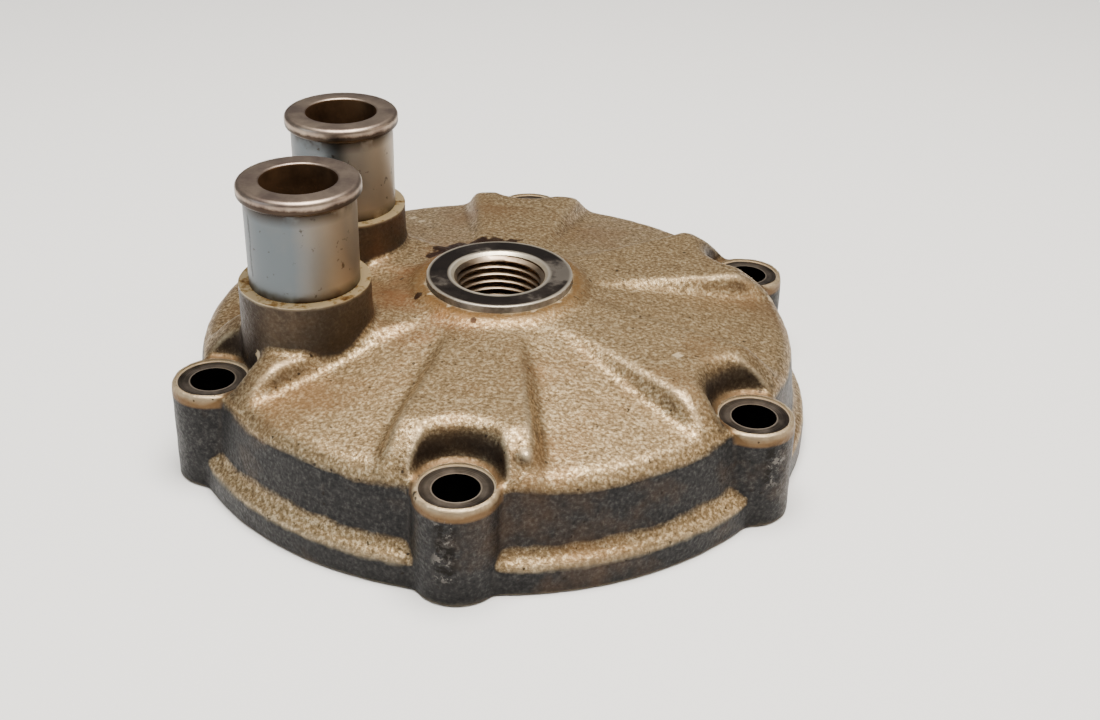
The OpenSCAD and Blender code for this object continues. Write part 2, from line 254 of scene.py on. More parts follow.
def bump(material, shader, height, distance):
    node = add_node(material, "ShaderNodeBump", {"Distance": distance, "Strength": 1.0}, {"Height": height})
    link(material, node.outputs["Normal"], shader.inputs["Normal"])


def maths(material, operation, *values):
    """Math node on numbers or outputs."""
    settings = {"operation": operation}
    settings.update({i: v for i, v in enumerate(values) if isinstance(v, (int, float))})
    links = {i: v for i, v in enumerate(values) if not isinstance(v, (int, float))}
    return add_node(material, "ShaderNodeMath", settings, links).outputs[0]


def place_outputs(material):
    """Object coordinates, with the distance from the plug axis and from the nearest bolt axis."""
    coordinate = add_node(material, "ShaderNodeTexCoord").outputs["Object"]
    xyz = add_node(material, "ShaderNodeSeparateXYZ", links={"Vector": coordinate})
    x, y, z = (xyz.outputs[k] for k in "XYZ")
    r = maths(material, "SQRT", maths(material, "ADD", maths(material, "MULTIPLY", x, x),
                                      maths(material, "MULTIPLY", y, y)))
    step = TURN / BOLT_COUNT
    turned = maths(material, "WRAP", maths(material, "SUBTRACT", maths(material, "ARCTAN2", y, x),
                                           BOLT_ANGLES[0]), step / 2, -step / 2)
    along = maths(material, "SUBTRACT", maths(material, "MULTIPLY", r, maths(material, "COSINE", turned)),
                  BOLT_CIRCLE_R)
    across = maths(material, "MULTIPLY", r, maths(material, "SINE", turned))
    d = maths(material, "SQRT", maths(material, "ADD", maths(material, "MULTIPLY", along, along),
                                      maths(material, "MULTIPLY", across, across)))
    return coordinate, x, y, z, r, d


def band(material, value, centre, half_width, soft):
    """1 where value is near centre, falling to 0 outside."""
    off = maths(material, "ABSOLUTE", maths(material, "SUBTRACT", value, centre))
    return scaled(material, off, half_width, half_width + soft, 1.0, 0.0)


def blob(material, x, y, at, radius, ragged):
    """1 inside a ragged spot of the given radius round at, both in mm."""
    dx, dy = (maths(material, "SUBTRACT", v, c * MM) for v, c in ((x, at[0]), (y, at[1])))
    far = maths(material, "SQRT", maths(material, "ADD", maths(material, "MULTIPLY", dx, dx),
                                        maths(material, "MULTIPLY", dy, dy)))
    far = maths(material, "ADD", far, maths(material, "MULTIPLY", maths(material, "SUBTRACT", ragged, 0.5),
                                            2.2 * radius * MM))
    return scaled(material, far, 0.8 * radius * MM, radius * MM, 1.0, 0.0)


# Places in mm: corrosion pits as ((x, y), radius), and scars on bolt bosses as (x, y, low, high).
PITS = [((-11.2, 9.4), 2.0), ((-9.8, 11.6), 2.4), ((-8.3, 13.6), 1.9), ((-5.2, 14.7), 2.0),
        ((-2.8, 15.0), 2.5), ((-0.2, 14.9), 2.0), ((-2.3, -13.0), 0.45), ((-11.6, -6.4), 0.7)]
SCARS = [(-0.7, -51, 4.5, 12.5), (42.2, -27.6, 7.5, 12.5)]


def cast_aluminium():
    """Sand-cast aluminium: tan on upward faces and dark grey on its sides as painted light from above, with
    painted shade low on its sides, in its bolt pockets and creases, and painted highlights on its edges.
    """
    material, shader = new_material("sand_cast_aluminium")
    coordinate, x, y, z, r, d = place_outputs(material)
    pointed = add_node(material, "ShaderNodeNewGeometry").outputs["Pointiness"]
    normal = add_node(material, "ShaderNodeTexCoord").outputs["Normal"]
    facing = add_node(material, "ShaderNodeSeparateXYZ", links={"Vector": normal}).outputs["Z"]
    cloud = noise_texture(material, 5 * MM, 4, 0.6, coordinate)
    grain = noise_texture(material, GRAIN, 3, 0.65, coordinate)
    speck = noise_texture(material, 0.9 * MM, 2, 0.5, coordinate)
    stain = noise_texture(material, 9 * MM, 5, 0.62, coordinate)
    # Tan on upward faces and dark grey on side faces, chosen by the facing of the normal: painted light from
    # above, a lit and a shaded copy of one metal.
    tan = ramp(material, grain, [(0.3, "#564631"), (0.5, "#8f7857"), (0.7, "#dac39b")])
    grey = ramp(material, grain, [(0.3, "#1d1d1e"), (0.52, "#2b2a2a"), (0.72, "#403f3d")])
    sway = maths(material, "MULTIPLY", maths(material, "SUBTRACT", cloud, 0.5), 0.5)
    top = scaled(material, maths(material, "ADD", facing, sway), 0.22, 0.5)
    colour = mix_colour(material, top, grey, tan)
    # Side faces darken to near black toward the bottom: painted shade.
    low = scaled(material, z, 0, 4.5 * MM, 0.55, 0.0)
    colour = mix_colour(material, maths(material, "MULTIPLY", low, maths(material, "SUBTRACT", 1.0, top)),
                        colour, "#0f0e0e")
    warm = maths(material, "MULTIPLY", scaled(material, z, 15 * MM, 19 * MM, 0.0, 0.3),
                 maths(material, "SUBTRACT", 1.0, top))
    colour = mix_colour(material, warm, colour, "#6b5841")
    brown = maths(material, "MULTIPLY", scaled(material, stain, 0.52, 0.7, 0.0, 0.55),
                  scaled(material, top, 0, 1, 0.35, 1.0))
    colour = mix_colour(material, brown, colour, "#7d5c3a")
    # Dark brown on the walls of the scoop round each bolt seat, fading toward the crest: painted shade in
    # the pockets.
    pocket_shade = maths(material, "MULTIPLY", scaled(material, d, 6.6 * MM, 9.2 * MM, 1.0, 0.0),
                   scaled(material, z, 14.9 * MM, 15.6 * MM))
    pocket_shade = maths(material, "MULTIPLY", pocket_shade, scaled(material, facing, 0.98, 0.6))
    colour = mix_colour(material, maths(material, "MULTIPLY", pocket_shade, 0.8), colour, "#2a1e14")
    rim = maths(material, "MULTIPLY", scaled(material, d, 5.9 * MM, 6.3 * MM, 1.0, 0.0),
                band(material, z, 14.4 * MM, 0.9 * MM, 0.4 * MM))
    colour = mix_colour(material, maths(material, "MULTIPLY", rim, 0.9), colour, "#6b5236")
    rust = maths(material, "MULTIPLY", scaled(material, r, 11 * MM, 24 * MM, 1.0, 0.0),
                 scaled(material, maths(material, "MULTIPLY", x, -1), -2 * MM, 10 * MM))
    rust = maths(material, "MULTIPLY", rust, scaled(material, cloud, 0.38, 0.6, 0.0, 0.85))
    colour = mix_colour(material, rust, colour, "#83502a")
    collar = scaled(material, r, 12.4 * MM, 14.5 * MM, 1.0, 0.0)
    colour = mix_colour(material, maths(material, "MULTIPLY", collar, 0.7), colour, "#7c5b31")
    for at, size in PITS:
        pit = blob(material, x, y, at, size, speck)
        colour = mix_colour(material, maths(material, "MULTIPLY", pit, 0.93), colour, "#301c10")
    # Near-white on convex edges, weaker near the floor: painted edge highlights.
    edge = maths(material, "MULTIPLY", scaled(material, pointed, 0.51, 0.56, 0.0, 0.6),
                 scaled(material, z, 0.3 * MM, 2 * MM, 0.2, 1.0))
    colour = mix_colour(material, edge, colour, "#e9d6b2")
    # Darker in concave creases: painted shade.
    crease_shade = scaled(material, pointed, 0.49, 0.44, 0.0, 0.75)
    colour = mix_colour(material, crease_shade, colour, "#2a2017")
    dots = scaled(material, noise_texture(material, 0.45 * MM, 1, 0.4, coordinate), 0.74, 0.77, 0.0, 0.8)
    colour = mix_colour(material, dots, colour, "#1c1511")
    chips = noise_texture(material, 0.8 * MM, 4, 0.7, coordinate)
    for at_x, at_y, low_z, high_z in SCARS:
        middle, half = (low_z + high_z) / 2 * MM, (high_z - low_z) / 2 * MM
        near = maths(material, "MULTIPLY", band(material, x, at_x * MM, 0.9 * MM, 1.2 * MM),
                     band(material, y, at_y * MM, 1.6 * MM, 1.2 * MM))
        near = maths(material, "MULTIPLY", near, band(material, z, middle, half, 1.5 * MM))
        for edges, tone in (((0.5, 0.54), "#15120f"), ((0.42, 0.4, 0.0, 0.6), "#77726c")):
            colour = mix_colour(material, maths(material, "MULTIPLY", near, scaled(material, chips, *edges)),
                                colour, tone)
    link(material, colour, shader.inputs["Base Color"])
    shader.inputs["Metallic"].default_value = 0.85
    link(material, scaled(material, grain, 0.3, 0.7, 0.6, 0.4), shader.inputs["Roughness"])
    bump(material, shader, grain, 0.09 * MM)
    return material


def machined_aluminium(name="machined_aluminium", light="#a7a29a", dark="#5f5b56"):
    """Aluminium cut on a lathe or mill, dulled by use."""
    material, shader = new_material(name)
    shader.inputs["Metallic"].default_value = 0.9
    blotch = noise_texture(material, 2.5 * MM, 4, 0.6)
    link(material, ramp(material, blotch, [(0.35, dark), (0.62, light)]), shader.inputs["Base Color"])
    link(material, scaled(material, blotch, 0.3, 0.7, 0.5, 0.3), shader.inputs["Roughness"])
    bump(material, shader, noise_texture(material, 0.3 * MM, 2), 0.02 * MM)
    return material


def turned_seat():
    """Turned aluminium plug seat, blotched dark by the washer, with painted highlights on its edges."""
    material, shader = new_material("turned_plug_seat")
    coordinate, x, y, z, r, d = place_outputs(material)
    shader.inputs["Metallic"].default_value = 0.9
    blotch = noise_texture(material, 4.5 * MM, 6, 0.6, coordinate)
    colour = ramp(material, blotch, [(0.46, "#2b2521"), (0.55, "#443c36"), (0.62, "#968c80")])
    # Near-white rings at the seat's outer and inner edges: painted highlights.
    for centre in (11.1 * MM, 7.6 * MM):
        colour = mix_colour(material, band(material, r, centre, 0.08 * MM, 0.4 * MM), colour, "#d6cbb8")
    link(material, colour, shader.inputs["Base Color"])
    link(material, scaled(material, blotch, 0.3, 0.7, 0.5, 0.3), shader.inputs["Roughness"])
    lines = maths(material, "SINE", maths(material, "MULTIPLY", r, TURN / (0.25 * MM)))
    bump(material, shader, lines, 0.006 * MM)
    return material


def spot_face():
    """Milled bolt seat in aluminium, pressed dark where the bolt head bears."""
    material, shader = new_material("milled_bolt_seat")
    coordinate, x, y, z, r, d = place_outputs(material)
    shader.inputs["Metallic"].default_value = 0.9
    blotch = noise_texture(material, 1.6 * MM, 4, 0.6, coordinate)
    inner = ramp(material, blotch, [(0.36, "#3f3831"), (0.64, "#696056")])
    outer = ramp(material, blotch, [(0.36, "#2c2621"), (0.64, "#4d453d")])
    colour = mix_colour(material, scaled(material, d, 4.0 * MM, 4.4 * MM), inner, outer)
    # Light rings at the seat's outer edge and at the mouth of the bolt hole: painted highlights.
    colour = mix_colour(material, band(material, d, 5.15 * MM, 0.14 * MM, 0.1 * MM), colour, "#d8c8ae")
    colour = mix_colour(material, band(material, d, 3.2 * MM, 0.1 * MM, 0.15 * MM), colour, "#94887a")
    link(material, colour, shader.inputs["Base Color"])
    shader.inputs["Roughness"].default_value = 0.42
    lines = maths(material, "SINE", maths(material, "MULTIPLY", d, TURN / (0.35 * MM)))
    bump(material, shader, lines, 0.01 * MM)
    return material


def satin_steel(name, light, dark, roughness=0.35):
    """Drawn or pressed steel with a satin skin."""
    material, shader = new_material(name)
    shader.inputs["Metallic"].default_value = 1.0
    shader.inputs["Roughness"].default_value = roughness
    blotch = noise_texture(material, 3 * MM, 4, 0.6)
    link(material, ramp(material, blotch, [(0.35, dark), (0.65, light)]), shader.inputs["Base Color"])
    bump(material, shader, noise_texture(material, 0.4 * MM, 2), 0.01 * MM)
    return material


def spigot_tube():
    """Drawn steel tube, cool grey on its outer side and warm tan on the side toward the plug as a painted
    reflection, darker in patches under its lip and at its foot.
    """
    material, shader = new_material("drawn_spigot_tube")
    coordinate, x, y, z, r, d = place_outputs(material)
    shader.inputs["Metallic"].default_value = 1.0
    shader.inputs["Roughness"].default_value = 0.4
    blotch = noise_texture(material, 4 * MM, 4, 0.6, coordinate)
    spots = noise_texture(material, 0.8 * MM, 3, 0.6, coordinate)
    axis_x = SPIGOTS["front"].x
    # Cool grey on the outer side blending into warm tan on the side toward the plug, the border broken by
    # noise: painted reflection of the cool and warm lamps.
    side = maths(material, "ADD", scaled(material, x, axis_x + 0.5 * MM, axis_x + 6.5 * MM),
                 maths(material, "MULTIPLY", maths(material, "SUBTRACT", blotch, 0.5), 0.5))
    colour = mix_colour(material, side, "#61676b", "#8f8272")
    # Darker in patches just under the lip and at the foot by the boss: partly dirt, partly painted shade
    # under the overhang and in the corner.
    under = scaled(material, z, SPIGOT_TOP - 4.2 * MM, SPIGOT_TOP - 2.2 * MM)
    foot = scaled(material, z, SPIGOT_BOSS_H, SPIGOT_BOSS_H + 1.8 * MM, 1.0, 0.0)
    grime_and_shade = maths(material, "MAXIMUM", under, foot)
    grime_and_shade = maths(material, "MULTIPLY", grime_and_shade, scaled(material, blotch, 0.44, 0.54, 0.1, 1.0))
    colour = mix_colour(material, grime_and_shade, colour, "#2b2119")
    colour = mix_colour(material, scaled(material, spots, 0.64, 0.7, 0, 0.8), colour, "#3a342e")
    wobble = maths(material, "MULTIPLY", maths(material, "SUBTRACT", spots, 0.5), 0.8 * MM)
    scratch = maths(material, "MULTIPLY", band(material, maths(material, "ADD", x, wobble),
                                               axis_x - 6.1 * MM, 0.07 * MM, 0.12 * MM),
                    band(material, z, 34.6 * MM, 4.6 * MM, 0.4 * MM))
    front = SPIGOTS["front"].y
    scratch = maths(material, "MULTIPLY", scratch, scaled(material, y, front, front - MM))
    colour = mix_colour(material, maths(material, "MULTIPLY", scratch, 0.85), colour, "#26292c")
    link(material, colour, shader.inputs["Base Color"])
    bump(material, shader, blotch, 0.02 * MM)
    return material


def rolled_bead():
    """Rolled steel lip, browned by heat, darkened in patches along its lower edge: partly dirt, partly
    painted shade.
    """
    material, shader = new_material("rolled_spigot_bead")
    coordinate, x, y, z, r, d = place_outputs(material)
    shader.inputs["Metallic"].default_value = 1.0
    shader.inputs["Roughness"].default_value = 0.4
    blotch = noise_texture(material, 2.5 * MM, 5, 0.65, coordinate)
    colour = ramp(material, blotch, [(0.35, "#85746a"), (0.65, "#b3a08d")])
    # Darker in patches on the lowest band of the bead: partly dirt, partly painted shade on its underside.
    low = maths(material, "ADD", z, maths(material, "MULTIPLY", blotch, 1.6 * MM))
    grime_and_shade = scaled(material, low, SPIGOT_TOP - 0.55 * MM, SPIGOT_TOP - 0.15 * MM, 0.9, 0.0)
    colour = mix_colour(material, grime_and_shade, colour, "#2c211a")
    link(material, colour, shader.inputs["Base Color"])
    bump(material, shader, blotch, 0.02 * MM)
    return material


def weathered_ring():
    """Cut top of the spigot bosses: bright gold-grey metal with rust spots."""
    material, shader = new_material("weathered_boss_face")
    spots = noise_texture(material, 1.2 * MM, 4, 0.65)
    link(material, ramp(material, spots, [(0.33, "#5a3413"), (0.41, "#a07a44"), (0.5, "#d9c092")]),
         shader.inputs["Base Color"])
    shader.inputs["Metallic"].default_value = 0.8
    shader.inputs["Roughness"].default_value = 0.4
    return material


def moulded_rubber():
    """Black nitrile rubber, matt from its mould."""
    material, shader = new_material("nitrile_rubber")
    grain = noise_texture(material, 0.5 * MM, 3)
    link(material, ramp(material, grain, [(0.3, "#151517"), (0.7, "#2a2a2c")]), shader.inputs["Base Color"])
    shader.inputs["Roughness"].default_value = 0.62
    bump(material, shader, grain, 0.02 * MM)
    return material


def casting_wax():
    """Thermostat wax filled with copper powder."""
    material, shader = new_material("filled_wax")
    grain = noise_texture(material, 0.3 * MM, 2)
    link(material, ramp(material, grain, [(0.4, "#8a5a2c"), (0.6, "#cfa35a")]), shader.inputs["Base Color"])
    shader.inputs["Roughness"].default_value = 0.5
    return material


def make_materials():
    return {
        "cast": cast_aluminium(),
        "machined": machined_aluminium(),
        # Near-white finish for the chamfer at the plug thread's mouth: a painted highlight.
        "bright": machined_aluminium("chamfer_painted_highlight", "#f0e2c8", "#b8a98f"),
        "carbon": machined_aluminium("carboned_combustion_bowl", "#6a625a", "#2e2a26"),
        "seat": turned_seat(),
        "spot_face": spot_face(),
        "boss_face": weathered_ring(),
        "thread": satin_steel("worn_thread", "#b8a48c", "#6b5a48"),
        "spigot": spigot_tube(),
        "bead": rolled_bead(),
        "bore": satin_steel("stained_bore", "#6b5038", "#412f22", 0.6),
        # Near-black finish inside the bolt holes: painted shade.
        "bolt_hole": satin_steel("bolt_hole_painted_shade", "#1d1a18", "#0f0d0c", 0.5),
        "steel": satin_steel("pressed_stainless_steel", "#c9c8c4", "#9c9a96"),
        "spring": satin_steel("spring_steel", "#9a9894", "#6b6966"),
        "brass": satin_steel("pressed_brass", "#c9a35c", "#93713a"),
        "rubber": moulded_rubber(),
        "wax": casting_wax(),
    }


# ---------------------------------------------------------------- mesh helpers

def spun(profile, steps):
    """bmesh of a closed (radius, height) profile spun once round the Z axis."""
    bm = bmesh.new()
    verts = [bm.verts.new((r, 0, z)) for r, z in profile]
    edges = [bm.edges.new(pair) for pair in zip(verts, verts[1:] + verts[:1])]
    bmesh.ops.spin(bm, geom=verts + edges, cent=(0, 0, 0), axis=UP, angle=TURN, steps=steps,
                   use_merge=True)
    bmesh.ops.remove_doubles(bm, verts=bm.verts, dist=1e-7)
    bmesh.ops.recalc_face_normals(bm, faces=bm.faces)
    return bm


def rounded(points, radii, segments=4):
    """Profile points with the corners given in radii {index: radius} turned into arcs."""
    result = []
    count = len(points)
    for i, point in enumerate(points):
        p = Vector(point)
        if i not in radii:
            result.append(tuple(p))
            continue
        a = (Vector(points[i - 1]) - p).normalized()
        b = (Vector(points[(i + 1) % count]) - p).normalized()
        half = a.angle(b) / 2
        reach = radii[i] / math.tan(half)
        centre = p + (a + b).normalized() * radii[i] / math.sin(half)
        first, last = p + a * reach - centre, p + b * reach - centre
        for k in range(segments + 1):
            share = k / segments
            spoke = first.slerp(last, share) * radii[i]
            result.append(tuple(centre + spoke))
    return result


def cylinder(radius, low, high, at=Vector((0, 0, 0)), segments=96, top_radius=None):
    """bmesh of an upright cylinder or cone."""
    bm = bmesh.new()
    place = Matrix.Translation(Vector((at.x, at.y, (low + high) / 2)))
    bmesh.ops.create_cone(bm, cap_ends=True, segments=segments, radius1=radius,
                          radius2=radius if top_radius is None else top_radius,
                          depth=high - low, matrix=place)
    return bm


def joined(parts):
    """One bmesh that holds all the given ones."""
    whole = bmesh.new()
    for part in parts:
        mesh = bpy.data.meshes.new("part")
        part.to_mesh(mesh)
        part.free()
        whole.from_mesh(mesh)
        bpy.data.meshes.remove(mesh)
    return whole


def to_object(bm, name, materials=()):
    mesh = bpy.data.meshes.new(name)
    bm.to_mesh(mesh)
    bm.free()
    for material in materials:
        mesh.materials.append(material)
    obj = bpy.data.objects.new(name, mesh)
    bpy.context.scene.collection.objects.link(obj)
    return obj


def bake_modifiers(obj):
    """Puts the result of the modifiers into the mesh."""
    mesh = bpy.data.meshes.new_from_object(obj.evaluated_get(bpy.context.evaluated_depsgraph_get()))
    obj.modifiers.clear()
    old = obj.data
    obj.data = mesh
    bpy.data.meshes.remove(old)


def voxel_remesh(obj, size):
    modifier = obj.modifiers.new("remesh", "REMESH")
    modifier.mode = "VOXEL"
    modifier.voxel_size = size
    bake_modifiers(obj)


def cut(obj, cutter):
    """Cuts one object out of another and removes it. Cut faces take the cutter's material."""
    modifier = obj.modifiers.new("cut", "BOOLEAN")
    modifier.operation = "DIFFERENCE"
    modifier.object = cutter
    modifier.solver = "EXACT"
    modifier.material_mode = "TRANSFER"
    bake_modifiers(obj)
    bpy.data.objects.remove(cutter)


def shade(obj, angle=35):
    """Smooth shading that keeps edges sharper than angle degrees."""
    mesh = obj.data
    mesh.polygons.foreach_set("use_smooth", [True] * len(mesh.polygons))
    mesh.set_sharp_from_angle(angle=math.radians(angle))


def finish_piece(obj, body, nodes=(), angle=35):
    shade(obj, angle)
    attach(obj, body)
    if nodes:
        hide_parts(*nodes)
    return obj


# ---------------------------------------------------------------- head cover

ALLOWANCE = 1.5 * MM
VOXEL = 0.5 * MM
WEB_START = 14 * MM
HOOD_CREST = 38 * MM
HOOD_END = 45.3 * MM
WEB_TOP_H = 21.3 * MM
WEB_SLOPE = 0.045
WEB_HALF_W = 5.9 * MM
WEB_FLARE = 0.19
HOOD_DROP = 5.3 * MM


def casting_wall():
    """Section of the cover's wall, with metal left on for machining, spun into a shell."""
    points = [
        (9.0, 16.3), (14.4, 16.3), (16.0, 16.9), (38.2, 12.9), (41.2, 11.0), (41.2, 7.5),
        (36.8, 4.5), (36.8, -1.5), (48.4, -1.5), (48.4, 4.2), (46.9, 5.0), (46.3, 6.2),
        (45.4, 14.0), (43.7, 15.8), (14.2, 21.3), (12.9, 22.4), (9.0, 22.4),
    ]
    radii = {2: 1.0, 3: 1.5, 4: 1.5, 5: 1.5, 6: 1.5, 9: 0.5, 11: 1.0, 12: 1.2, 13: 1.6, 14: 1.2, 15: 0.4}
    profile = rounded([(r * MM, z * MM) for r, z in points], {i: v * MM for i, v in radii.items()})
    return spun(profile, 180)


def smooth_step(value, low, high):
    share = min(1.0, max(0.0, (value - low) / (high - low)))
    return share * share * (3 - 2 * share)


def web_rise(x, y):
    """How far the web to the nearest bolt, and its hood round the bolt seat, stand over the dome."""
    r = math.hypot(x, y)
    if not WEB_START < r < HOOD_END:
        return 0.0
    top = WEB_TOP_H - (r - WEB_START) * WEB_SLOPE
    if r > HOOD_CREST:
        share = (r - HOOD_CREST) / (HOOD_END - HOOD_CREST)
        top -= HOOD_DROP * share ** 1.6
    skin = dome_height(r) if r < DOME_EDGE.x else DOME_EDGE.y - (r - DOME_EDGE.x)
    rise = max(0.0, top - skin)
    best = 0.0
    for angle in BOLT_ANGLES:
        if x * math.cos(angle) + y * math.sin(angle) > 0:
            across = abs(-x * math.sin(angle) + y * math.cos(angle))
            foot = WEB_HALF_W + (r - WEB_START) * WEB_FLARE
            best = max(best, 1 - smooth_step(across, foot - 1.9 * MM, foot + 0.2 * MM))
    return rise * best


def bolt_pocket(at):
    """Cutter for the steep scoop that clears each bolt head."""
    floor = BOLT_SEAT_H + 0.3 * MM
    profile = rounded([(0, floor), (6.1 * MM, floor), (7.3 * MM, floor + 4.2 * MM),
                       (12.0 * MM, floor + 7.4 * MM), (12.0 * MM, floor + 9 * MM),
                       (0, floor + 9 * MM)], {1: 0.8 * MM, 2: 2.6 * MM})
    bm = spun(profile, 64)
    bmesh.ops.translate(bm, verts=bm.verts, vec=at)
    return bm


def edit_mesh(obj, change):
    """Runs change(bmesh) on the object's mesh."""
    bm = bmesh.new()
    bm.from_mesh(obj.data)
    change(bm)
    bm.to_mesh(obj.data)
    bm.free()


def raise_webs(bm):
    for vert in bm.verts:
        x, y, z = vert.co
        if vert.normal.z > 0.25 and z > 13.9 * MM:
            vert.co.z += web_rise(x, y)


def roughen(bm):
    """Softens the corners and gives the skin the slight waviness of a sand mould."""
    for _ in range(4):
        bmesh.ops.smooth_vert(bm, verts=bm.verts, factor=0.5, use_axis_x=True, use_axis_y=True,
                              use_axis_z=True)
    bm.normal_update()
    for vert in bm.verts:
        vert.co += vert.normal * noise.noise(vert.co / (2.5 * MM)) * 0.06 * MM


def make_casting(materials):
    """The rough casting: wall, webs with their hoods, scooped bolt pockets and bosses."""
    obj = to_object(casting_wall(), "head_cover_cast", [materials["cast"]])
    voxel_remesh(obj, VOXEL)
    edit_mesh(obj, raise_webs)
    cut(obj, to_object(joined([bolt_pocket(at) for at in bolt_points()]), "pockets",
                       [materials["cast"]]))
    bosses = [cylinder(BOSS_R, -ALLOWANCE, BOLT_SEAT_H + 0.4 * MM, at, 64, BOSS_R - 0.25 * MM)
              for at in bolt_points()]
    bosses += [cylinder(SPIGOT_BOSS_R + 0.25 * MM, 14 * MM, SPIGOT_BOSS_H + ALLOWANCE, at, 96,
                        SPIGOT_BOSS_R + 0.05 * MM) for at in SPIGOTS.values()]
    bosses.append(cylinder(1.2 * MM, 14 * MM, 18.8 * MM, Vector((8.6, -41.2, 0)) * MM, 24, 0.9 * MM))
    whole = joined(bosses)
    whole.from_mesh(obj.data)
    whole.to_mesh(obj.data)
    whole.free()
    voxel_remesh(obj, VOXEL)
    edit_mesh(obj, roughen)
    return obj


def make_head_cover(materials):
    obj = make_casting(materials)
    faces = [cylinder(0.06, -0.01, 0.0)]
    faces.append(cylinder(14.2 * MM, 14.0 * MM, CLAMP_H, segments=160))
    cut(obj, to_object(joined(faces), "face_cuts", [materials["machined"]]))
    seats = [cylinder(BOLT_SEAT_R, BOLT_SEAT_H, 0.026, at, 128) for at in bolt_points()]
    cut(obj, to_object(joined(seats), "seat_cuts", [materials["spot_face"]]))
    tops = [cylinder(SPIGOT_BOSS_R + 1.5 * MM, SPIGOT_BOSS_H, SPIGOT_BOSS_H + 4 * MM, at)
            for at in SPIGOTS.values()]
    cut(obj, to_object(joined(tops), "top_cuts", [materials["boss_face"]]))
    holes = [cylinder(BOLT_HOLE_R, -0.01, 0.03, at, 96) for at in bolt_points()]
    cut(obj, to_object(joined(holes), "hole_cuts", [materials["bolt_hole"]]))
    bores = [cylinder(SPIGOT_R, 11.3 * MM, 0.04, at, 160) for at in SPIGOTS.values()]
    bores.append(cylinder(NECK_BORE_R, 0.01, 0.03, segments=256))
    cut(obj, to_object(joined(bores), "bore_cuts", [materials["bore"]]))
    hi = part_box("coolant_o_ring")[1]
    middle = hi.x - 1.15 * MM
    groove = spun([(middle - 1.2 * MM, -MM), (middle + 1.2 * MM, -MM), (middle + 1.2 * MM, hi.z),
                   (middle - 1.2 * MM, hi.z)], 256)
    cut(obj, to_object(groove, "groove_cut", [materials["machined"]]))
    obj.name = "head_cover_casting"
    return finish_piece(obj, "head", ["head_cover"], 40)


# ---------------------------------------------------------------- combustion insert

THREAD_PITCH = 1.25 * MM
THREAD_MAJOR_R = 7.0 * MM
CHAMFER_R = 7.43 * MM
BOWL_SPHERE_R = 14.155 * MM
BOWL_CENTRE_Z = -3.355 * MM


def bowl_z(r):
    return BOWL_CENTRE_Z + math.sqrt(BOWL_SPHERE_R ** 2 - r * r)


def plug_thread():
    """Helical ridge of the spark plug thread, trimmed by the chamfer at its mouth."""
    low, high = bowl_z(THREAD_MAJOR_R) + 0.6 * MM, SEAT_H + 0.4 * MM
    turns = (high - low) / THREAD_PITCH
    section = [(7.2, -0.6), (7.0, -0.56), (6.34, -0.1), (6.34, 0.1), (7.0, 0.56), (7.2, 0.6)]
    bm = bmesh.new()
    verts = [bm.verts.new((r * MM, 0, low + z * MM)) for r, z in section]
    face = bm.faces.new(verts)
    steps = int(turns * 96)
    bmesh.ops.spin(bm, geom=[face], cent=(0, 0, 0), axis=UP, angle=turns * TURN, steps=steps,
                   dvec=(0, 0, (high - low) / steps))
    bmesh.ops.remove_doubles(bm, verts=bm.verts, dist=1e-7)
    for vert in bm.verts:
        r = math.hypot(vert.co.x, vert.co.y)
        least = CHAMFER_R - (SEAT_H - 0.02 * MM - vert.co.z)
        if r < least:
            vert.co.x *= least / r
            vert.co.y *= least / r
        vert.co.z = min(vert.co.z, SEAT_H - 0.1 * MM)
    bmesh.ops.recalc_face_normals(bm, faces=bm.faces)
    return bm


def make_insert(materials):
    looks = ["machined", "seat", "bore", "thread", "carbon", "bright"]
    bowl = [(r * MM, bowl_z(r * MM)) for r in (7 + i / 2 for i in range(13))]
    points = bowl + [(r * MM, z * MM) for r, z in [
        (13.5, 0.9), (20.0, 0.0), (23.05, 0.0), (23.05, 1.6), (25.45, 1.6), (25.45, 0.0),
        (28.5, 0.0), (28.5, 5.0), (14.2, 14.5), (14.2, 17.5), (11.2, 17.5), (11.2, 19.1),
        (9.65, 19.1), (9.65, 21.5), (11.2, 21.5), (11.2, 23.5), (7.43, 23.5), (7.0, 23.07)]]
    seat = len(points) - 3
    corners = {seat: 0.18 * MM, seat + 1: 0.1 * MM, len(bowl) + 6: 0.4 * MM, len(bowl) + 7: 0.6 * MM}
    bm = spun(rounded(points, corners), 192)
    for face in bm.faces:
        middle = face.calc_center_median()
        r, z = math.hypot(middle.x, middle.y), middle.z
        if z > SEAT_H - 0.3 * MM and r > CHAMFER_R:
            face.material_index = looks.index("seat")
        # The chamfer at the thread's mouth takes the near-white finish: a painted highlight.
        elif r < CHAMFER_R and z > SEAT_H - 0.45 * MM:
            face.material_index = looks.index("bright")
        elif r < THREAD_MAJOR_R + 0.05 * MM:
            face.material_index = looks.index("bore")
        elif r < 13.5 * MM and z < 12 * MM:
            face.material_index = looks.index("carbon")
    thread = plug_thread()
    for face in thread.faces:
        face.material_index = looks.index("thread")
    obj = to_object(joined([bm, thread]), "combustion_insert_turned", [materials[k] for k in looks])
    return finish_piece(obj, "head", ["combustion_insert"], 30)


# ---------------------------------------------------------------- spigots and seals

